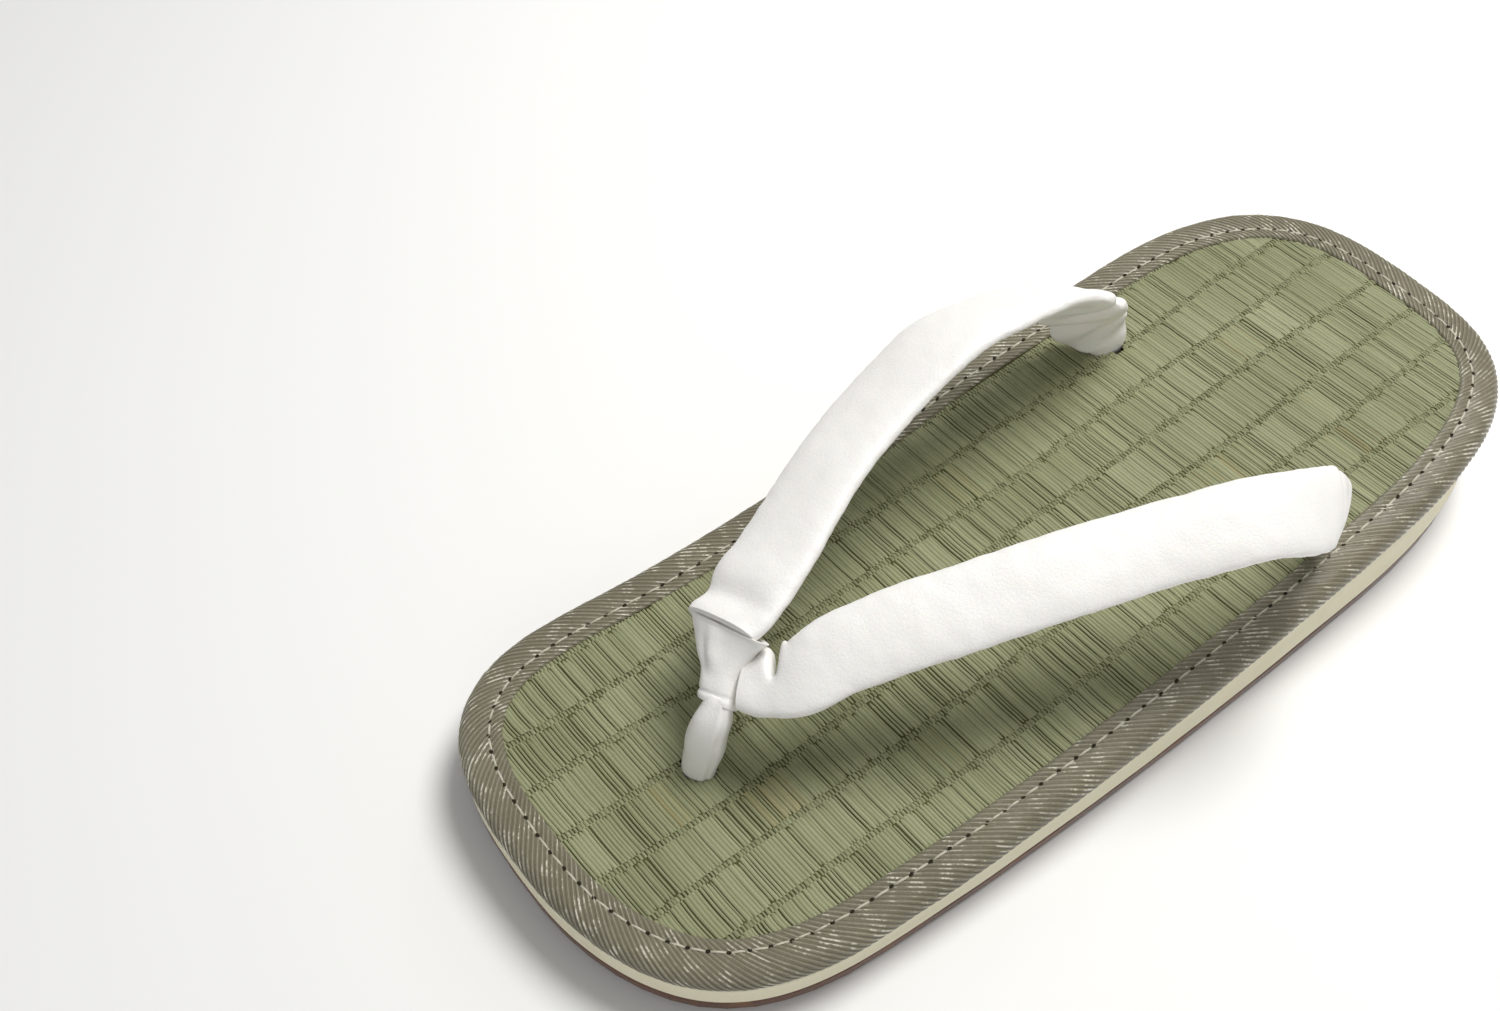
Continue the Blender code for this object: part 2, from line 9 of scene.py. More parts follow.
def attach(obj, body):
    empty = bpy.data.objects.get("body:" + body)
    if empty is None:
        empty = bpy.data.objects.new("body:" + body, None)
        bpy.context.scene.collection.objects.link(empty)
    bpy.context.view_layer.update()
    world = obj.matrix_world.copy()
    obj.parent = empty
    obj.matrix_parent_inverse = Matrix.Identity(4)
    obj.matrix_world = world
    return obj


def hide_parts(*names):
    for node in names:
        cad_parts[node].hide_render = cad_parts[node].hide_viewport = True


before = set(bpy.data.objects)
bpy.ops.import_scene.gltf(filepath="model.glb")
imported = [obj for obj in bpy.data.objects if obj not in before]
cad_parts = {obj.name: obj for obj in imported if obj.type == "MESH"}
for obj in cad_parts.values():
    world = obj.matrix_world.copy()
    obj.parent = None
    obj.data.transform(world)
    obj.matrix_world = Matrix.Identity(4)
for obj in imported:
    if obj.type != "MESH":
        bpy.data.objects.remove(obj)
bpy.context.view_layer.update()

random.seed(41)
bpy.ops.object.select_all(action="DESELECT")

# sizes of the sandal, the same as the solids have
sandal = {
    "length": 0.266,
    "width": 0.104,
    "toeCapStart": 0.80,
    "toeCapPower": 2.55,
    "heelCapStart": 0.325,
    "heelCapPower": 2.95,
    "outsoleThickness": 0.0045,
    "toeSpring": 0.0022,
    "gap": 0.0003,
    "wedgeToe": 0.0048,
    "wedgeHeel": 0.0200,
    "bindingHeight": 0.0056,
    "tapeThickness": 0.0007,
    "edgeSteps": 160,
}
# station along the sandal, sideways shift, half width
planRows = (
    (0.0, 0.007, 1.020), (0.124, 0.025, 1.005), (0.25, 0.015, 0.992), (0.4, 0.009, 1.005),
    (0.55, -0.015, 0.987), (0.7, -0.013, 0.972), (0.8, 0.013, 0.968), (0.876, 0.051, 0.978),
    (0.951, 0.110, 1.005), (1.0, 0.181, 1.018),
)
# station, rise of the wedge
wedgeRows = (
    (0.0, 1.0), (0.1, 0.94), (0.2, 0.79), (0.3, 0.62), (0.4, 0.47), (0.5, 0.33),
    (0.6, 0.19), (0.7, 0.09), (0.8, 0.03), (0.9, 0.005), (1.0, 0.0),
)


def readRow(rows, column, share):
    # a smooth curve through one column
    share = min(max(share, rows[0][0]), rows[-1][0])
    last = len(rows) - 1
    step = max(i for i in range(last) if rows[i][0] <= share)
    slopes = []
    for i in (step, step + 1):
        low = max(i - 1, 0)
        high = min(i + 1, last)
        slopes.append((rows[high][column] - rows[low][column]) / (rows[high][0] - rows[low][0]))
    span = rows[step + 1][0] - rows[step][0]
    t = (share - rows[step][0]) / span
    start = (2 * t**3 - 3 * t**2 + 1) * rows[step][column] + (t**3 - 2 * t**2 + t) * span * slopes[0]
    return start + (3 * t**2 - 2 * t**3) * rows[step + 1][column] + (t**3 - t**2) * span * slopes[1]


def stationOf(y):
    return y / sandal["length"] + 0.5


def yOf(station):
    return (station - 0.5) * sandal["length"]


def xOf(across):
    return across * sandal["width"] / 2


def midsoleBase(y):
    lift = max((stationOf(y) - sandal["toeCapStart"]) / (1 - sandal["toeCapStart"]), 0)
    return sandal["outsoleThickness"] + sandal["toeSpring"] * lift**2 + sandal["gap"]


def midsoleTop(y):
    rise = readRow(wedgeRows, 1, stationOf(y))
    return midsoleBase(y) + sandal["wedgeToe"] + (sandal["wedgeHeel"] - sandal["wedgeToe"]) * rise


def bindingBase(y):
    return midsoleTop(y) + sandal["gap"]


def matTop(y):
    return bindingBase(y) + sandal["bindingHeight"] - sandal["tapeThickness"] - sandal["gap"]


def capPoint(power, angle):
    # how far along and how wide a rounded end is at this angle, each 0 to 1
    return math.sin(angle) ** (2 / power), max(math.cos(angle), 0.0) ** (2 / power)


def planEdge(count):
    # evenly spaced points round the binding's outer edge with the way outwards at each
    steps = sandal["edgeSteps"]
    heel, toe = sandal["heelCapStart"], sandal["toeCapStart"]
    rough = []
    for i in range(steps):
        reach, wide = capPoint(sandal["heelCapPower"], math.pi / 2 * (1 - i / steps))
        rough.append((heel * (1 - reach), wide))
    rough.extend((heel + (toe - heel) * i / steps, 1.0) for i in range(steps))
    for i in range(steps + 1):
        reach, wide = capPoint(sandal["toeCapPower"], math.pi / 2 * i / steps)
        rough.append((toe + (1 - toe) * reach, wide))
    rough[0] = (0.0, 0.0)
    rough[-1] = (1.0, 0.0)
    inner = []
    outer = []
    for station, wide in rough:
        half = xOf(readRow(planRows, 2, station)) * wide
        middle = xOf(readRow(planRows, 1, station))
        inner.append(Vector((middle + half, yOf(station))))
        outer.append(Vector((middle - half, yOf(station))))
    ring = inner + outer[-2:0:-1]
    ring.append(ring[0])
    runs = [0.0]
    for a, b in zip(ring, ring[1:]):
        runs.append(runs[-1] + (b - a).length)
    points = []
    place = 0
    for i in range(count):
        goal = runs[-1] * i / count
        while runs[place + 1] < goal:
            place += 1
        share = (goal - runs[place]) / (runs[place + 1] - runs[place])
        points.append(ring[place].lerp(ring[place + 1], share))
    reach = max(2, count // 150)
    ways = []
    for i in range(count):
        along = (points[(i + reach) % count] - points[i - reach]).normalized()
        ways.append(Vector((along.y, -along.x)))
    return points, ways, runs[-1]


def smooth(share):
    share = min(max(share, 0.0), 1.0)
    return share * share * (3 - 2 * share)


def hump(distance, width):
    return math.exp(-((distance / width) ** 2))


def humpPair(distance, width, apart, spread):
    # one swelling on each side of a fold or notch
    return hump(distance - width * apart, width * spread) + hump(distance + width * apart, width * spread)


def plug(tree, socket, value):
    if isinstance(value, Signal):
        tree.links.new(value.socket, socket)
    else:
        socket.default_value = value


def addNode(tree, kind, settings, plugs, output=0):
    step = tree.nodes.new(kind)
    for key, value in settings.items():
        if key == "stops":
            while len(step.color_ramp.elements) < len(value):
                step.color_ramp.elements.new(0.5)
            for mark, (where, colour) in zip(step.color_ramp.elements, value):
                mark.position = where
                mark.color = colour
        else:
            setattr(step, key, value)
    for key, value in plugs.items():
        plug(tree, step.inputs[key], value)
    return Signal(tree, step.outputs[output])


class Signal:
    # an output socket that ordinary arithmetic works on
    def __init__(self, tree, socket):
        self.tree = tree
        self.socket = socket

    def sum(self, operation, *values, clamp=False):
        settings = {"operation": operation, "use_clamp": clamp}
        return addNode(self.tree, "ShaderNodeMath", settings, dict(enumerate(values)))

    def __add__(self, other):
        return self.sum("ADD", self, other)

    def __radd__(self, other):
        return self.sum("ADD", other, self)

    def __sub__(self, other):
        return self.sum("SUBTRACT", self, other)

    def __rsub__(self, other):
        return self.sum("SUBTRACT", other, self)

    def __mul__(self, other):
        return self.sum("MULTIPLY", self, other)

    def __rmul__(self, other):
        return self.sum("MULTIPLY", other, self)

    def above(self, edge, softness):
        # 0 below the edge, 1 above it
        return self.sum("MULTIPLY_ADD", self, 1 / softness, 0.5 - edge / softness, clamp=True)

    def kept(self):
        return self.sum("ADD", self, 0.0, clamp=True)


class Finish:
    # one material, built step by step
    def __init__(self, name, roughness, sheen=0.0, coat=0.0, specular=0.5, subsurface=0.0):
        self.material = bpy.data.materials.new(name)
        self.material.use_nodes = True
        self.tree = self.material.node_tree
        self.shader = self.tree.nodes["Principled BSDF"]
        self.shader.inputs["Roughness"].default_value = roughness
        self.shader.inputs["Sheen Weight"].default_value = sheen
        self.shader.inputs["Coat Weight"].default_value = coat
        self.shader.inputs["Specular IOR Level"].default_value = specular
        self.shader.inputs["Subsurface Weight"].default_value = subsurface
        self.place = self.add("ShaderNodeTexCoord", output="Object")

    def add(self, kind, settings=None, output=0, **plugs):
        return addNode(self.tree, kind, settings or {}, plugs, output)

    def attribute(self, name):
        return self.add("ShaderNodeAttribute", {"attribute_name": name}, output="Fac")

    def turned(self, scale, angle=0.0):
        return self.add("ShaderNodeMapping", Vector=self.place, Scale=scale, Rotation=(0, 0, angle))

    def cloud(self, scale, detail=2.0, roughness=0.5, place=None):
        place = place or self.place
        return self.add("ShaderNodeTexNoise", Vector=place, Scale=scale, Detail=detail, Roughness=roughness)

    def cells(self, feature, scale, place=None):
        return self.add("ShaderNodeTexVoronoi", {"feature": feature}, Vector=place or self.place, Scale=scale)

    def ramp(self, share, *stops):
        # each stop is a place and a colour in screen values
        return self.add("ShaderNodeValToRGB", {"stops": [(where, tint(*colour)) for where, colour in stops]}, Fac=share)

    def blend(self, share, first, second):
        # inputs 6 and 7 and output 2 of this node are its colours
        return addNode(self.tree, "ShaderNodeMix", {"data_type": "RGBA"}, {0: share, 6: first, 7: second}, 2)

    def finish(self, colour, rough=None, height=None, depth=0.0003, strength=1.0):
        plug(self.tree, self.shader.inputs["Base Color"], colour)
        if rough is not None:
            plug(self.tree, self.shader.inputs["Roughness"], rough)
        if height is not None:
            relief = self.add("ShaderNodeBump", Strength=strength, Distance=depth, Height=height)
            plug(self.tree, self.shader.inputs["Normal"], relief)
        return self.material


def tint(*screen):
    # screen values 0 to 255 as the shader's linear colour
    return tuple(((v / 255 + 0.055) / 1.055) ** 2.4 if v > 10 else v / 255 / 12.92 for v in screen) + (1.0,)


def rushStraw():
    f = Finish("rushStraw", 0.55, specular=0.35)
    tone = f.attribute("strawTone")
    hue = f.attribute("strawHue")
    streak = f.cloud(1.0, 3.0, 0.6, f.turned((60, 2600, 60), -math.radians(straw["tilt"])))
    patch = f.cloud(38.0, 2.0)
    shade = (tone * 0.46 + streak * 0.34 + patch * 0.30 - 0.03).kept()
    green = f.ramp(shade, (0.0, (92, 95, 62)), (0.45, (138, 141, 106)), (1.0, (174, 176, 142)))
    dry = f.ramp(shade, (0.0, (88, 80, 46)), (0.45, (142, 134, 92)), (1.0, (186, 178, 136)))
    colour = f.blend(hue.above(0.80, 0.30), green, dry)
    return f.finish(colour, 0.42 + streak * 0.25, streak, 0.00012, 0.6)


# the board shows only through the gaps between the straws; its dark colour is painted shade in those gaps
def gapShadeBoard():
    f = Finish("matGroundGapShade", 0.9, specular=0.2)
    grain = f.cloud(1.0, 2.0, 0.5, f.turned((80, 1500, 80), -math.radians(straw["tilt"])))
    return f.finish(f.blend(grain, tint(62, 62, 36), tint(92, 92, 60)), None, grain, 0.0002, 0.5)


def cordTape():
    f = Finish("cordTape", 0.42, sheen=0.25)
    rib = f.attribute("rib")
    strand = f.attribute("strand")
    fibre = f.cloud(1500.0, 2.0)
    patch = f.cloud(55.0, 2.0)
    # paintedGlint: bright specks on the rib crests, a painted highlight; the top ramp stop is its colour
    paintedGlint = f.cloud(260.0, 3.0).above(0.555, 0.10) * rib.above(0.62, 0.3) * fibre.above(0.40, 0.3)
    # rib lightens the crests and darkens the grooves: painted light and shade over the ribs
    shade = (rib * 0.36 + strand * 0.14 + fibre * 0.26 + patch * 0.30 - 0.09 + paintedGlint * 0.52).kept()
    stops = ((0.0, (72, 67, 49)), (0.45, (118, 112, 91)), (0.8, (150, 145, 124)), (1.0, (208, 204, 188)))
    colour = f.ramp(shade, *stops)
    return f.finish(colour, 0.56 - shade * 0.30, strand * 0.6 + fibre * 0.5, 0.00015, 0.7)


def creamFoam():
    f = Finish("creamFoam", 0.62, specular=0.35, subsurface=0.05)
    pore = f.cells("F1", 900.0)
    patch = f.cloud(60.0, 3.0)
    grain = f.cloud(2200.0, 2.0)
    base = f.blend(patch, tint(222, 213, 184), tint(241, 234, 208))
    soiled = f.blend((patch.above(0.62, 0.2) * 0.25).kept(), base, tint(214, 203, 172))
    return f.finish(soiled, 0.50 + grain * 0.25, pore * 0.7 + grain * 0.4, 0.00016, 0.55)


def gumRubber():
    f = Finish("gumRubber", 0.35, coat=0.15)
    patch = f.cloud(45.0, 3.0)
    grain = f.cloud(1800.0, 2.0)
    scuff = f.cloud(1.0, 4.0, 0.7, f.turned((420, 90, 200), 0.3))
    base = f.blend(patch, tint(70, 39, 21), tint(104, 61, 33))
    rubbed = scuff.above(0.60, 0.12)
    worn = f.blend((rubbed * 0.35).kept(), base, tint(150, 108, 72))
    return f.finish(worn, 0.26 + grain * 0.20 + rubbed * 0.18, grain, 0.00012, 0.45)


def whiteLeather():
    f = Finish("whiteLeather", 0.42, specular=0.45, subsurface=0.04)
    grain = f.cells("DISTANCE_TO_EDGE", 900.0)
    crease = f.cells("DISTANCE_TO_EDGE", 1.0, f.turned((980, 520, 800), 0.35))
    fine = f.cloud(2600.0, 2.0)
    patch = f.cloud(36.0, 2.0)
    base = f.blend(patch, tint(238, 235, 231), tint(249, 247, 244))
    # the creases are darkened towards (214, 209, 202): painted shade in the creases
    paintedCreaseShade = 1 - crease.above(0.05, 0.08)
    shaded = f.blend((paintedCreaseShade * 0.07).kept(), base, tint(214, 209, 202))
    creased = crease.above(0.06, 0.12) * patch.above(0.5, 0.3)
    relief = grain.above(0.08, 0.16) * 0.5 + creased * 0.35 + fine * 0.35
    return f.finish(shaded, 0.36 + fine * 0.18, relief, 0.00012, 0.36)


def thread(name, dark, light):
    f = Finish(name, 0.6, sheen=0.3)
    twist = f.cloud(2400.0, 2.0)
    return f.finish(f.blend(twist, dark, light), None, twist, 0.0001, 0.6)


# the needle holes are coloured near black: painted shadow inside the holes
def paintedHoleShadow():
    f = Finish("pinHolePaintedShadow", 0.9, specular=0.1)
    return f.finish(f.blend(f.cloud(900.0), tint(34, 31, 22), tint(52, 48, 36)))


camera = {
    "place": (-0.12709, 0.17661, 0.30776),
    "right": (-0.60153, -0.79881, 0.00678),
    "down": (-0.63698, 0.47451, -0.60753),
    "forward": (0.48209, -0.36977, -0.79426),
    "lens": 37.23,
}


def placeCamera():
    bpy.ops.object.camera_add(location=camera["place"])
    eye = bpy.context.object
    eye.name = "photoCamera"
    right = Vector(camera["right"])
    up = -Vector(camera["down"])
    back = -Vector(camera["forward"])
    eye.matrix_world = Matrix.Translation(camera["place"]) @ Matrix((right, up, back)).transposed().to_4x4()
    eye.data.lens = camera["lens"]
    eye.data.sensor_width = 36
    eye.data.clip_start = 0.01
    bpy.context.scene.camera = eye


lamps = {
    "softKey": {"place": (0.02, -0.30, 0.80), "size": 0.40, "power": 6.3, "colour": (1.0, 0.99, 0.97)},
    "heelRim": {"place": (0.34, -0.50, 0.50), "size": 0.40, "power": 0.7, "colour": (1.0, 0.985, 0.96)},
    "toeFill": {"place": (-0.55, 0.55, 0.40), "size": 0.7, "power": 1.2, "colour": (1.0, 0.99, 0.97)},
}
studio = {"skyColour": (0.98, 0.99, 1.0, 1.0), "skyStrength": 0.26, "floorSize": 6}


def placeLamps():
    for name, lamp in lamps.items():
        bpy.ops.object.light_add(type="AREA", location=lamp["place"])
        made = bpy.context.object
        made.name = name
        made.data.shape = "DISK"
        made.data.size = lamp["size"]
        made.data.energy = lamp["power"]
        made.data.color = lamp["colour"]
        made.rotation_euler = (-Vector(lamp["place"])).to_track_quat("-Z", "Y").to_euler()
    sky = bpy.data.worlds.new("studio")
    sky.use_nodes = True
    sky.node_tree.nodes["Background"].inputs["Color"].default_value = studio["skyColour"]
    sky.node_tree.nodes["Background"].inputs["Strength"].default_value = studio["skyStrength"]
    bpy.context.scene.world = sky
    bpy.context.scene.view_settings.view_transform = "Standard"
    bpy.context.scene.view_settings.look = "None"


def placeFloor():
    bpy.ops.mesh.primitive_plane_add(size=studio["floorSize"], location=(0, 0, 0))
    floor = bpy.context.object
    floor.name = "studioFloor"
    f = Finish("paleFloor", 0.85, specular=0.2)
    floor.data.materials.append(f.finish(f.blend(f.cloud(3.0), (0.90, 0.90, 0.89, 1), (0.93, 0.93, 0.92, 1))))
    print("studio:", len(lamps), "lamps and the floor")


def settled(piece, material, slotName, *nodes):
    # rides on the shoe, takes its finish and stands for its solid
    piece.data.materials.clear()
    piece.data.materials.append(material)
    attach(piece, "root")
    if nodes:
        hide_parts(*nodes)
    return piece


def meshPiece(name, points, faces, shade=True):
    mesh = bpy.data.meshes.new(name)
    mesh.from_pydata(points, [], faces)
    piece = bpy.data.objects.new(name, mesh)
    bpy.context.scene.collection.objects.link(piece)
    if shade:
        mesh.shade_smooth()
    return piece


def tube(name, sections):
    # skins sections of equal count and closes both ends on a middle point
    count = len(sections[0])
    points = [point for section in sections for point in section]
    faces = []
    for row in range(len(sections) - 1):
        for i in range(count):
            j = (i + 1) % count
            faces.append((row * count + i, row * count + j, (row + 1) * count + j, (row + 1) * count + i))
    for row in (0, len(sections) - 1):
        points.append(sum((Vector(point) for point in sections[row]), Vector()) / count)
        middle = len(points) - 1
        for i in range(count):
            ends = (row * count + i, row * count + (i + 1) % count)
            faces.append((middle, *(ends[::-1] if row == 0 else ends)))
    piece = meshPiece(name, points, faces)
    facedOut(piece)
    return piece


def addAttribute(piece, name, values):
    piece.data.attributes.new(name, "FLOAT", "POINT").data.foreach_set("value", values)


def facedOut(piece):
    work = bmesh.new()
    work.from_mesh(piece.data)
    bmesh.ops.remove_doubles(work, verts=work.verts, dist=1e-7)
    bmesh.ops.recalc_face_normals(work, faces=work.faces)
    work.to_mesh(piece.data)
    work.free()


def edited(piece):
    bpy.ops.object.select_all(action="DESELECT")
    piece.select_set(True)
    bpy.context.view_layer.objects.active = piece
    bpy.ops.object.mode_set(mode="EDIT")


def joined(name, pieces):
    bpy.ops.object.select_all(action="DESELECT")
    for piece in pieces:
        piece.select_set(True)
    bpy.context.view_layer.objects.active = pieces[0]
    bpy.ops.object.join()
    whole = bpy.context.object
    whole.name = name
    bpy.ops.object.select_all(action="DESELECT")
    return whole


foam = {
    "inset": 0.0009,
    "flare": 0.0007,
    "waist": 0.0003,
    "edge": 0.0005,
    "uneven": 0.00012,
    "lumps": 70,
    "around": 560,
}
# level up the side, share of the rounded edge, share of the waist
foamRows = (
    (0.0, 1.0, 0.0), (0.04, 0.25, 0.0), (0.10, 0.0, 0.0), (0.3, 0.0, 0.8), (0.5, 0.0, 1.0),
    (0.7, 0.0, 0.8), (0.90, 0.0, 0.0), (0.96, 0.25, 0.0), (1.0, 1.0, 0.0),
)


def foamRing(points, ways, level, inwards):
    bpy.ops.mesh.primitive_circle_add(vertices=foam["around"], radius=0.05)
    ring = bpy.context.object
    for corner, point, way in zip(ring.data.vertices, points, ways):
        low = midsoleBase(point.y)
        high = midsoleTop(point.y)
        uneven = foam["uneven"] * noise.noise(Vector((point.x, point.y, level * 0.01)) * foam["lumps"])
        flat = point - way * (foam["inset"] - foam["flare"] * (1 - level) + inwards + uneven)
        corner.co = (flat.x, flat.y, low + (high - low) * level)
    return ring


def makeMidsole():
    around = foam["around"]
    points, ways = planEdge(around)[:2]
    rings = []
    for level, edgeShare, waistShare in foamRows:
        rings.append(foamRing(points, ways, level, foam["edge"] * edgeShare + foam["waist"] * waistShare))
    wedge = joined("foam_wedge", rings)
    wedge.matrix_world = Matrix.Identity(4)
    edited(wedge)
    bpy.ops.mesh.select_all(action="SELECT")
    bpy.ops.mesh.bridge_edge_loops()
    bpy.ops.object.mode_set(mode="OBJECT")
    # the flat ends are closed with strips from one side to the other
    work = bmesh.new()
    work.from_mesh(wedge.data)
    work.verts.ensure_lookup_table()
    for row in (0, len(foamRows) - 1):
        ring = work.verts[row * around:(row + 1) * around]
        for i in range(around // 2):
            strip = list(dict.fromkeys((ring[i], ring[i + 1], ring[around - i - 1], ring[(around - i) % around])))
            if len(strip) > 2:
                work.faces.new(strip)
    bmesh.ops.recalc_face_normals(work, faces=work.faces)
    work.to_mesh(wedge.data)
    work.free()
    wedge.data.shade_smooth()
    settled(wedge, creamFoam(), "midsole_foam", "midsole")
    print("foam wedge:", len(wedge.data.polygons), "faces")


# angles in degrees
rubber = {"round": 0.00035, "steps": 2, "flat": 0.6, "sharp": 35, "smooth": 32}


def makeOutsole():
    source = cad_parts["outsole"]
    sole = bpy.data.objects.new("gum_outsole", source.data.copy())
    bpy.context.scene.collection.objects.link(sole)
    facedOut(sole)
    edited(sole)
    bpy.ops.mesh.select_all(action="SELECT")
    bpy.ops.mesh.dissolve_limited(angle_limit=math.radians(rubber["flat"]))
    bpy.ops.object.mode_set(mode="OBJECT")
    bevel = sole.modifiers.new("moulded", "BEVEL")
    bevel.width = rubber["round"]
    bevel.segments = rubber["steps"]
    bevel.limit_method = "ANGLE"
    bevel.angle_limit = math.radians(rubber["sharp"])
    bpy.context.view_layer.objects.active = sole
    bpy.ops.object.modifier_apply(modifier="moulded")
    sole.select_set(True)
    bpy.ops.object.shade_smooth_by_angle(angle=math.radians(rubber["smooth"]))
    bpy.ops.object.select_all(action="DESELECT")
    settled(sole, gumRubber(), "outsole_rubber", "outsole")
    print("outsole:", len(sole.data.polygons), "faces")


straw = {
    "pitch": 0.00088,
    "tilt": 3.3,
    "crown": 0.00030,
    "sunk": -0.00014,
    "warpPitch": 0.0124,
    "firstWarp": -0.0572,
    "band": 0.0015,
    "tapeEdge": 0.0089,
    "gapsAcross": 10,
    "arc": 5,
    "longSteps": 5,
    "shortSteps": 3,
    "dive": 0.0012,
    "leastLong": 0.0012,
    "leastShort": 0.0009,
    "rowWidths": (0.80, 0.9, 0.97, 1.0, 1.0, 1.05, 1.15),
}
# what differs from straw to straw: those between the warps, and the short ones over a warp
longOnes = {
    "widths": (0.62, 0.84, 0.95, 1.02, 1.06, 1.10),
    "drop": 0.00008,
    "dives": (0.00008, 0.00016, 0.00024, 0.00040),
}
shortOnes = {
    "widths": (0.62, 0.80, 0.95),
    "drops": (0.00002, 0.00008, 0.00014),
    "dives": (0.00010, 0.00020, 0.00030),
}
# how the warps wander: size, waves per metre, shift from one warp to the next
warpWaves = ((0.00045, 31, 1.9), (0.00035, 83, 4.1))
# holes the strap goes through: middle and half sizes
strapHoles = (
    (0.03193, -0.05692, 0.0038, 0.0052),
    (-0.03713, -0.05613, 0.0038, 0.0052),
    (0.00182, 0.09017, 0.0038, 0.0036),
)


def insideSpan(y, slope):
    # where a straw through (0, y) with this slope runs between the tape's inner edges
    found = []
    for i, point in enumerate(innerEdge):
        other = innerEdge[(i + 1) % len(innerEdge)]
        a = point.y - (y + slope * point.x)
        b = other.y - (y + slope * other.x)
        if (a < 0) != (b < 0):
            found.append(point.x + (other.x - point.x) * a / (a - b))
    return (min(found), max(found)) if len(found) > 1 else None


def warpAt(k, y):
    wave = sum(size * math.sin(y * rate + k * shift) for size, rate, shift in warpWaves)
    return straw["firstWarp"] + k * straw["warpPitch"] + wave


def strawShape(arcSteps, alongSteps):
    # one straw from above, lying along X, a unit long and wide; its ends dive under the warp
    bpy.ops.mesh.primitive_grid_add(x_subdivisions=alongSteps, y_subdivisions=arcSteps - 1, size=1)
    made = bpy.context.object
    shape = []
    for corner in made.data.vertices:
        u = corner.co.x + 0.5
        v = corner.co.y * 2
        fall = min(u, 1 - u) * 2
        shape.append((u, v, math.sqrt(max(1 - (v * 0.97) ** 2, 0)), fall))
    faces = [tuple(face.vertices) for face in made.data.polygons]
    bpy.data.objects.remove(made)
    return shape, faces


def strawCuts(y, slope):
    # the spans of one row, cut where the strap's holes are
    span = insideSpan(y, slope)
    if span is None:
        return []
    cuts = [span]
    for holeX, holeY, halfX, halfY in strapHoles:
        level = (y + slope * holeX - holeY) / halfY
        if abs(level) < 1:
            half = halfX * math.sqrt(1 - level**2)
            cuts = [piece for a, b in cuts for piece in ((a, holeX - half), (holeX + half, b))]
    return cuts


def makeMat():
    longStraw = strawShape(straw["arc"], straw["longSteps"])
    shortStraw = strawShape(straw["arc"], straw["shortSteps"])
    points = []
    faces = []
    tones = []
    hues = []
    slope = math.tan(math.radians(straw["tilt"]))
    rows = []
    y = yOf(0) + straw["tapeEdge"]
    while y < yOf(1) - straw["tapeEdge"] + 0.004:
        wide = straw["pitch"] * random.choice(straw["rowWidths"])
        rows.append((y, wide))
        # a spare draw, which the look of every later straw depends on
        random.random()
        y += wide

    def lay(kind, left, right, y, wide, tone, hue, drop, reach, sway):
        shape, shapeFaces = kind
        start = len(points)
        crownHeight = straw["crown"] * (0.55 + 0.45 * wide / straw["pitch"])
        for u, v, crown, fall in shape:
            x = left + (right - left) * u
            where = y + slope * x + v * wide * 0.5 + sway * math.sin(math.pi * u)
            dive = reach * (1 - smooth(fall * (right - left) / straw["dive"]))
            points.append((x, where, matTop(where) - straw["sunk"] + crown * crownHeight - dive - drop))
            tones.append(tone)
            hues.append(hue)
        faces.extend(tuple(start + i for i in face) for face in shapeFaces)

    def layLong(k, left, right, y, wide):
        tone = 0.5 + 0.34 * noise.noise(Vector((k * 7.3, y * 95, 0.4))) + 0.22 * (random.random() - 0.5)
        hue = 0.45 + 0.5 * noise.noise(Vector((k * 3.1, y * 60, 9.4))) + 0.25 * (random.random() - 0.5)
        slim = wide * random.choice(longOnes["widths"])
        drop = longOnes["drop"] * random.random()
        reach = random.choice(longOnes["dives"])
        sway = 0.0002 * noise.noise(Vector((k * 2.2, y * 45, 3))) + 0.00015
        lay(longStraw, left, right, y, slim, tone, hue, drop, reach, sway)

    def layShort(left, right, y, wide):
        slim = wide * random.choice(shortOnes["widths"])
        # the short straws over a warp get darker tones: painted shade along the warp's groove
        tone = 0.16 + 0.34 * random.random()
        drop = random.choice(shortOnes["drops"])
        reach = random.choice(shortOnes["dives"])
        lay(shortStraw, left, right, y + wide * 0.5, slim, tone, 0.45, drop, reach, 0)

    for y, wide in rows:
        for a, b in strawCuts(y, slope):
            for k in range(straw["gapsAcross"]):
                warp = warpAt(k, y)
                left = max(a, warp + straw["band"] * 0.44)
                right = min(b, warpAt(k + 1, y) - straw["band"] * 0.44)
                if right - left > straw["leastLong"]:
                    layLong(k, left, right, y, wide)
                left, right = max(a, warp - straw["band"] * 0.52), min(b, warp + straw["band"] * 0.52)
                if right - left > straw["leastShort"]:
                    layShort(left, right, y, wide)
    mat = meshPiece("rush_straws", points, faces)
    addAttribute(mat, "strawTone", tones)
    addAttribute(mat, "strawHue", hues)
    settled(mat, rushStraw(), "rush_mat")
    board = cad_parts["footbed"]
    board.data.materials.clear()
    board.data.materials.append(gapShadeBoard())
    print("mat:", len(rows), "straws,", len(faces), "faces")


tape = {
    "samples": 8,
    "ribPitch": 0.00175,
    "ribDepth": 0.00028,
    "edgeRibs": 0.25,
    "slant": 1.43,
    "uneven": 0.00016,
    "topWidth": 0.0095,
    "underWidth": 0.0065,
    "underStep": 0.0045,
    "rollSteps": 12,
    "stitchLine": 0.0066,
}
# inset from the edge on top, how far the seam draws the tape down there
tapeTop = (
    (tape["topWidth"], 0.00075), (tape["topWidth"] - 0.0002, 0.00030), (tape["topWidth"] - 0.0006, 0.00008),
    (0.0086, 0.00002), (0.0079, 0.00006), (0.0072, 0.00016), (tape["stitchLine"], 0.00032),
    (0.0060, 0.00014), (0.0053, 0.0), (0.0046, 0.0), (0.0038, 0.0),
)


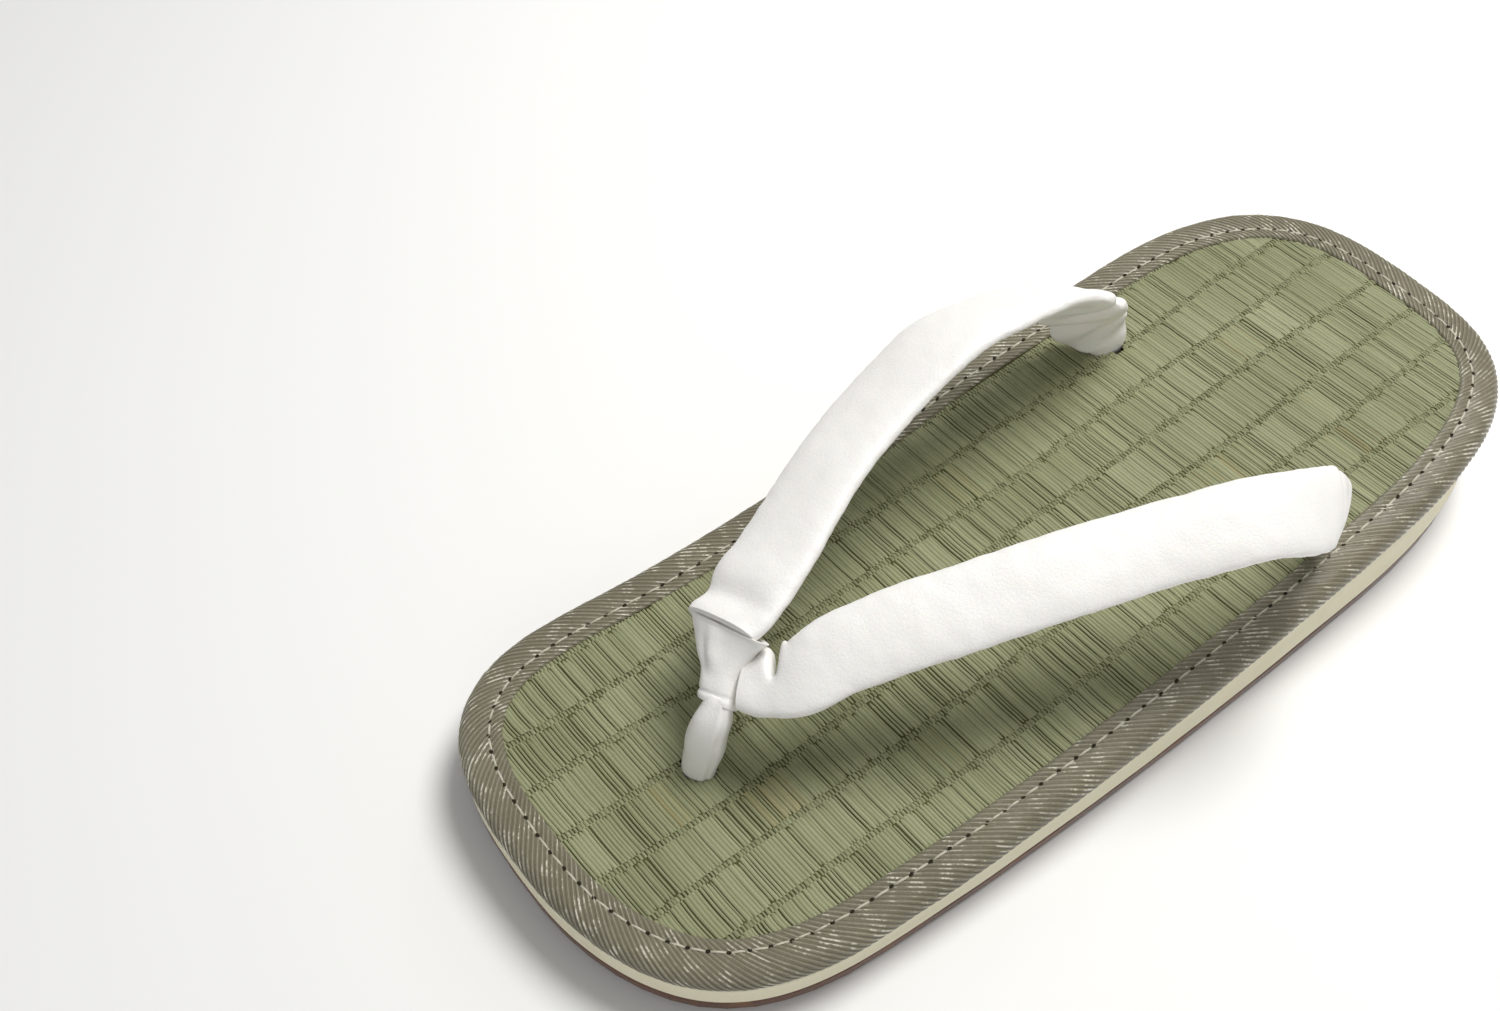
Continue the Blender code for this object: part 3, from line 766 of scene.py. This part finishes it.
def tapeProfile():
    # inset from the edge, height over the base, way outwards (in, up), run of cloth from the top edge
    top = sandal["bindingHeight"]
    radius = top / 2
    rows = [(inset, top - dip, 0.0, 1.0) for inset, dip in tapeTop]
    for i in range(tape["rollSteps"] + 1):
        angle = math.pi * (0.5 - i / tape["rollSteps"])
        c, s = math.cos(angle), math.sin(angle)
        rows.append((radius * (1 - c), radius * (1 + s), -c, s))
    rows.extend((inset, 0.0, 0.0, -1.0) for inset in (tape["underStep"], tape["underWidth"]))
    run = 0.0
    result = []
    for i, row in enumerate(rows):
        if i:
            run += math.hypot(row[0] - rows[i - 1][0], row[1] - rows[i - 1][1])
        result.append((*row, run))
    return result


def makeTape():
    profile = tapeProfile()
    ribCount = round(planEdge(60)[2] / tape["ribPitch"])
    around = ribCount * tape["samples"]
    points, ways, length = planEdge(around)
    corners = []
    faces = []
    ribs = []
    strands = []
    for row, (inset, height, inwards, up, run) in enumerate(profile):
        depth = tape["ribDepth"] * (tape["edgeRibs"] if row in (0, len(profile) - 1) else 1.0)
        # each row starts further on, so the grid runs along the ribs
        start = run * tape["slant"] * around / length
        for i in range(around):
            low = int(i + start)
            share = i + start - low
            point = points[low % around].lerp(points[(low + 1) % around], share)
            way = ways[low % around].lerp(ways[(low + 1) % around], share)
            phase = i / tape["samples"]
            strong = 0.85 + 0.5 * noise.noise(Vector((int(phase) * 3.7, run * 90, 2.0)))
            rib = (0.5 + 0.5 * math.cos(math.tau * phase)) * strong
            uneven = tape["uneven"] * noise.noise(Vector((point.x * 90, point.y * 90, run * 120)))
            lift = depth * (rib - 0.5) + uneven
            flat = point - way * (inset + inwards * lift)
            corners.append((flat.x, flat.y, bindingBase(flat.y) + height + up * lift))
            ribs.append(rib)
            strands.append(0.5 + 0.5 * math.sin(math.tau * phase * 2.0))
    for row in range(len(profile) - 1):
        for i in range(around):
            j = (i + 1) % around
            faces.append((row * around + i, (row + 1) * around + i, (row + 1) * around + j, row * around + j))
    piece = meshPiece("binding_cord_tape", corners, faces)
    addAttribute(piece, "rib", ribs)
    addAttribute(piece, "strand", strands)
    settled(piece, cordTape(), "twill_tape", "binding_tape")
    print("tape:", len(faces), "faces, run", round(profile[-1][4], 4), "length", round(length, 3))


stitch = {
    "pitch": 0.0049,
    "length": 0.0034,
    "halfWidth": 0.00027,
    "halfHeight": 0.00022,
    "below": 0.00022,
    "sink": 0.00022,
    "sway": 0.00012,
    "steps": 8,
    "sides": 6,
    "holeSides": 8,
}
# needle hole from its mouth down: half size along the seam and across it, depth under the tape's top
holeRings = ((0.00052, 0.00040, 0.00016), (0.00030, 0.00022, 0.00085))


def stitchShape():
    # one stitch, a unit long and with a unit radius, lying along X
    bpy.ops.mesh.primitive_cylinder_add(vertices=stitch["sides"], radius=1, depth=1, end_fill_type="TRIFAN")
    sample = bpy.context.object
    edited(sample)
    bpy.ops.mesh.select_all(action="SELECT")
    bpy.ops.transform.rotate(value=math.pi / 2, orient_axis="Y", center_override=(0, 0, 0))
    bpy.ops.mesh.bisect(plane_co=(0, 0, 0), plane_no=(1, 0, 0))
    bpy.ops.object.mode_set(mode="OBJECT")
    shape = [tuple(corner.co) for corner in sample.data.vertices]
    shapeFaces = [tuple(face.vertices) for face in sample.data.polygons]
    bpy.data.objects.remove(sample)
    return shape, shapeFaces


def makeStitches():
    steps = stitch["steps"]
    sides = stitch["holeSides"]
    count = round(planEdge(60)[2] / stitch["pitch"])
    points, ways = planEdge(count * steps)[:2]
    shape, shapeFaces = stitchShape()
    threads = []
    threadFaces = []
    holes = []
    holeFaces = []
    top = sandal["bindingHeight"]
    for i in range(0, count * steps, steps):
        j = (i + steps) % len(points)
        sway = random.uniform(-stitch["sway"], stitch["sway"])
        a = points[i] - ways[i] * (tape["stitchLine"] + sway)
        b = points[j] - ways[j] * (tape["stitchLine"] - sway)
        way = (b - a).normalized()
        side = Vector((way.y, -way.x))
        middle = (a + b) / 2
        half = stitch["length"] / 2 * random.uniform(0.92, 1.06)
        start = len(threads)
        for x, y, z in shape:
            sink = stitch["sink"] * (abs(x * 2)) ** 3
            flat = middle + way * (x * 2 * half) + side * (y * stitch["halfWidth"])
            base = bindingBase(flat.y) + top - stitch["below"]
            threads.append((flat.x, flat.y, base + z * stitch["halfHeight"] - sink))
        threadFaces.extend(tuple(start + k for k in face) for face in shapeFaces)
        start = len(holes)
        for along, across, down in holeRings:
            for k in range(sides):
                angle = math.tau * k / sides
                flat = a + way * (along * math.cos(angle)) + side * (across * math.sin(angle))
                holes.append((flat.x, flat.y, bindingBase(flat.y) + top - down))
        for k in range(sides):
            j = (k + 1) % sides
            holeFaces.append((start + k, start + j, start + sides + j, start + sides + k))
        holeFaces.append(tuple(start + sides + k for k in range(sides)))
        holeFaces.append(tuple(start + k for k in reversed(range(sides))))
    seam = meshPiece("lockstitch_thread", threads, threadFaces)
    facedOut(seam)
    settled(seam, thread("paleThread", tint(170, 166, 146), tint(208, 204, 188)), "twill_tape")
    pins = meshPiece("needle_holes", holes, holeFaces, shade=False)
    facedOut(pins)
    settled(pins, paintedHoleShadow(), "twill_tape")
    print("stitches:", count)


strap = {
    "width": 0.0200,
    "thickness": 0.0052,
    "height": 0.0420,
    "power": 2.5,
    "sides": 72,
    "steps": 24,
    "footDepth": 0.005,
    "crinkle": 0.00010,
}
# how uneven the padding is: size, lumps per metre
strapLumps = ((0.00030, 75), (0.00012, 260))
# the seam along the underside: height, place across, width
strapSeam = ((-0.00080, -0.06, 0.050), (0.00030, 0.04, 0.06))
# the swellings beside a fold: share of its depth, how far off and how wide in its widths
foldSides = {"share": 0.42, "apart": 2.2, "spread": 1.4}
pinchSides = {"apart": 2.4, "spread": 1.8}
# station, across, height, width, thickness, turn, tilt
innerArm = (
    (0.2860, 0.614, 0.0, 0.48, 0.95, 74, 0), (0.2870, 0.620, 0.06, 0.56, 0.95, 72, 0),
    (0.2950, 0.652, 0.15, 0.80, 0.95, 64, 10), (0.3100, 0.668, 0.28, 0.99, 0.92, 52, 18),
    (0.3380, 0.680, 0.53, 1.03, 0.92, 32, 24), (0.3680, 0.680, 0.71, 0.99, 0.95, 15, 27),
    (0.4060, 0.672, 0.825, 1.02, 1.0, 5, 27), (0.4420, 0.672, 0.885, 1.06, 1.0, 3, 25),
    (0.4940, 0.690, 0.905, 1.08, 1.0, 6, 22), (0.5690, 0.638, 0.830, 1.02, 1.0, 12, 22),
    (0.6400, 0.535, 0.774, 0.98, 1.0, 15, 23), (0.7110, 0.385, 0.700, 1.00, 1.0, 16, 21),
    (0.7455, 0.320, 0.662, 1.00, 1.0, 15, 19), (0.7725, 0.272, 0.640, 0.95, 0.98, 10, 17),
    (0.7860, 0.252, 0.640, 0.84, 0.95, 6, 16),
)
outerArm = (
    (0.2890, -0.714, 0.0, 0.42, 0.95, 76, 0), (0.2900, -0.720, 0.06, 0.47, 0.95, 76, 0),
    (0.2945, -0.748, 0.15, 0.66, 0.95, 71, 10), (0.3050, -0.785, 0.28, 0.78, 0.92, 64, 22),
    (0.3320, -0.813, 0.53, 0.81, 0.92, 46, 30), (0.3610, -0.858, 0.74, 0.87, 0.96, 38, 32),
    (0.3960, -0.853, 0.888, 0.88, 1.0, 30, 28), (0.4360, -0.768, 0.938, 0.87, 1.0, 24, 20),
    (0.5045, -0.604, 0.890, 0.89, 1.0, 22, 17), (0.5800, -0.450, 0.853, 0.90, 1.0, 21, 17),
    (0.6560, -0.294, 0.780, 0.90, 1.0, 21, 17), (0.6960, -0.214, 0.739, 0.88, 1.0, 24, 20),
    (0.7345, -0.145, 0.684, 0.84, 1.0, 32, 24), (0.7655, -0.108, 0.606, 0.76, 0.97, 46, 24),
    (0.7840, -0.020, 0.528, 0.70, 0.95, 56, 16), (0.7950, 0.050, 0.490, 0.56, 0.90, 60, 12),
)


# folds: run along the arm, half width, depth, from and to across the arm
innerFolds = (
    (0.010, 0.0018, 0.0011, 0.9, -0.4), (0.0155, 0.0019, 0.0017, -0.9, 0.4), (0.0215, 0.0017, 0.0015, 0.8, -0.5),
    (0.029, 0.0022, 0.0009, -0.8, 0.5), (0.1475, 0.0030, 0.0011, -1.0, -0.2),
)
outerFolds = (
    (0.012, 0.0020, 0.0010, 0.7, -0.5), (0.019, 0.0022, 0.0011, -0.9, 0.3), (0.027, 0.0026, 0.0006, 0.9, 0.0),
)
# notches: run along the arm, half width, how far drawn in, how much it swells beside it
outerPinches = ((0.1609, 0.0012, 0.80, 0.15),)


def rowsAlong(rows, steps):
    last = len(rows) - 1
    counted = [(i / last, *row) for i, row in enumerate(rows)]
    columns = range(1, len(rows[0]) + 1)
    return [[readRow(counted, column, i / (last * steps)) for column in columns] for i in range(last * steps + 1)]


def sectionRing(centre, outward, upward, halfWidth, halfDepth, dent, sides):
    ring = []
    for i in range(sides):
        angle = math.tau * i / sides
        c, s = math.cos(angle), math.sin(angle)
        across = math.copysign(abs(c) ** (2 / strap["power"]), c)
        through = math.copysign(abs(s) ** (2 / strap["power"]), s)
        point = centre + outward * halfWidth * across + upward * halfDepth * through
        way = (outward * c / max(halfWidth, 1e-5) + upward * s / max(halfDepth, 1e-5)).normalized()
        ring.append(point + way * dent(point, across, through))
    return ring


def foldDepth(folds, run, across):
    depth = 0.0
    for where, width, deep, start, end in folds:
        reach = smooth((across - start) / (end - start))
        beside = humpPair(run - where, width, foldSides["apart"], foldSides["spread"])
        depth -= deep * hump(run - where, width) * reach
        depth += deep * foldSides["share"] * beside * reach
    return depth


def makeArm(name, rows, side, folds, pinches=()):
    table = rowsAlong(rows, strap["steps"])
    centres = []
    for row in table:
        y = yOf(row[0])
        centres.append(Vector((xOf(row[1]), y, matTop(y) + row[2] * strap["height"])))
    sections = []
    run = 0.0
    for i, (row, centre) in enumerate(zip(table, centres)):
        if i:
            run += (centre - centres[i - 1]).length
        ahead = centres[min(i + 1, len(centres) - 1)] - centres[max(i - 1, 0)]
        turn, tilt = math.radians(row[5]), math.radians(row[6])
        outward = Vector((side * math.cos(turn), math.sin(turn), 0)) * math.cos(tilt)
        outward.z = -math.sin(tilt)
        upward = ahead.cross(outward).normalized()
        square = upward.cross(ahead).normalized()
        outward = square if square.dot(outward) > 0 else -square
        if upward.z < 0 and row[2] > 0.5:
            upward = -upward

        def dent(point, across, through, run=run):
            soft = sum(size * noise.noise(point * rate) for size, rate in strapLumps)
            crease = noise.noise(Vector((run * 420, across * 2.2, through * 2))) * (0.35 + abs(across) ** 3)
            seam = sum(deep * hump(across - place, wide) for deep, place, wide in strapSeam) if through < 0 else 0.0
            return soft + strap["crinkle"] * crease + seam + foldDepth(folds, run, across)

        half = row[3] * strap["width"] / 2
        ring = sectionRing(centre, outward, upward, half, row[4] * strap["thickness"] / 2, dent, strap["sides"])
        for where, width, pull, plump in pinches:
            # the inner edge is drawn in to a notch and swells beside it
            inwards = pull * hump(run - where, width)
            swell = plump * humpPair(run - where, width, pinchSides["apart"], pinchSides["spread"])
            for spot, point in enumerate(ring):
                across = (point - centre).dot(outward) / half
                edge = smooth((-across + 0.15) / 0.8)
                drawn = point.lerp(centre + outward * half * 0.10, inwards * edge)
                ring[spot] = drawn + (point - centre) * swell * edge
        sections.append(ring)
    foot = [Vector((point.x, point.y, point.z - strap["footDepth"])) for point in sections[0]]
    piece = tube(name, [foot] + sections)
    settled(piece, leather, "strap_leather", "strap_upper")
    print(name + ":", len(piece.data.polygons), "faces, run", round(run, 4))


# left and right edge of the toe sleeve from its collar up to its mouth, and its half depth
sleeveRows = (
    ((0.0070, 0.0873, 0.0334), (-0.0006, 0.0832, 0.0334), 0.0037),
    ((0.0090, 0.0855, 0.0349), (0.0017, 0.0815, 0.0359), 0.0040),
    ((0.0114, 0.0836, 0.0359), (0.0034, 0.0799, 0.0380), 0.0038),
    ((0.0143, 0.0824, 0.0369), (0.0042, 0.0779, 0.0400), 0.0035),
    ((0.0174, 0.0808, 0.0379), (0.0043, 0.0760, 0.0420), 0.0033),
    ((0.0201, 0.0794, 0.0390), (0.0036, 0.0743, 0.0439), 0.0031),
    ((0.0225, 0.0780, 0.0395), (0.0033, 0.0735, 0.0453), 0.0028),
)


sleeve = {"steps": 60, "sides": 64, "sunk": 0.8, "lipDrop": 0.003, "lip": 0.05, "inside": 0.12, "insideRow": -4}


def makeSleeve():
    steps = sleeve["steps"]
    table = rowsAlong([(*a, *b, deep) for a, b, deep in sleeveRows], steps // (len(sleeveRows) - 1))
    rings = []
    centres = [(Vector(row[:3]) + Vector(row[3:6])) / 2 for row in table]
    for i, (centre, row) in enumerate(zip(centres, table)):
        half = (Vector(row[:3]) - Vector(row[3:6])) / 2
        deep = row[6]
        share = i / steps
        ahead = centres[min(i + 1, steps)] - centres[max(i - 1, 0)]
        outward = half.normalized()
        upward = outward.cross(ahead).normalized()
        if upward.z < 0:
            upward = -upward
        centre = centre - upward * deep * sleeve["sunk"]

        def dent(point, across, through, share=share):
            hem = 0.00016 * hump(share - 0.045, 0.03) - 0.00022 * hump(share - 0.10, 0.018)
            mouth = 0.00030 * hump(share - 0.97, 0.03)
            ridge = 0.0
            if through > 0:
                ridge = 0.0008 * hump(across - (0.10 + 0.55 * (share - 0.4)), 0.35) * smooth((share - 0.25) / 0.3)
                ridge -= 0.0005 * hump(across - (0.62 - 0.25 * share), 0.16) * smooth((share - 0.2) / 0.3)
            return hem + mouth + ridge + 0.00022 * noise.noise(point * 160)

        rings.append(sectionRing(centre, outward, upward, half.length, deep, dent, sleeve["sides"]))
    # the mouth turns in over the arms
    below = Vector((0, 0, sleeve["lipDrop"]))
    back = sleeve["insideRow"]
    lip = [point.lerp(centres[-1] - below, sleeve["lip"]) for point in rings[-1]]
    inside = [point.lerp(centres[back] - below, sleeve["inside"]) for point in rings[back]]
    piece = tube("toe_sleeve", rings + [lip, inside])
    settled(piece, leather, "strap_leather", "strap_upper")
    print("sleeve:", len(piece.data.polygons), "faces")


# middle of the toe post, across half width, half depth
postRows = (
    (0.0, 0.0018, 0.0902, 0.0130, 0.0036, 0.0034), (0.16, 0.0018, 0.0902, 0.0156, 0.0037, 0.0035),
    (0.34, 0.0018, 0.0893, 0.0196, 0.0041, 0.0037), (0.55, 0.0022, 0.0880, 0.0245, 0.0043, 0.0038),
    (0.75, 0.0027, 0.0862, 0.0292, 0.0040, 0.0034), (0.92, 0.0036, 0.0843, 0.0325, 0.0030, 0.0024),
    (1.0, 0.0042, 0.0833, 0.0335, 0.0026, 0.0020),
)


post = {"steps": 46, "sides": 48, "outward": (0.88, 0.47, 0.0)}


def makePost():
    steps = post["steps"]
    rings = []
    middles = [Vector([readRow(postRows, column, i / steps) for column in (1, 2, 3)]) for i in range(steps + 1)]
    outward = Vector(post["outward"]).normalized()
    for i, centre in enumerate(middles):
        share = i / steps
        ahead = (middles[min(i + 1, steps)] - middles[max(i - 1, 0)]).normalized()
        upward = ahead.cross(outward).normalized()

        def dent(point, across, through, share=share):
            pull = 0.00025 * math.sin(across * 5 + share * 7) * hump(share - 0.8, 0.2)
            seam = -0.0004 * hump(across + 0.75, 0.10) if through > 0 else 0.0
            return pull + seam + 0.00018 * noise.noise(point * 210)

        halfWidth, halfDepth = readRow(postRows, 4, share), readRow(postRows, 5, share)
        rings.append(sectionRing(centre, outward, upward, halfWidth, halfDepth, dent, post["sides"]))
    piece = tube("toe_post", rings)
    settled(piece, leather, "strap_leather", "strap_upper")
    print("post:", len(piece.data.polygons), "faces")


placeCamera()
placeLamps()
placeFloor()
leather = whiteLeather()
outerPoints, outerWays = planEdge(900)[:2]
innerEdge = [point - way * straw["tapeEdge"] for point, way in zip(outerPoints, outerWays)]
makeOutsole()
makeMidsole()
makeMat()
makeTape()
makeStitches()
makeArm("inner_arm", innerArm, 1, innerFolds)
makeArm("outer_arm", outerArm, -1, outerFolds, outerPinches)
makeSleeve()
makePost()
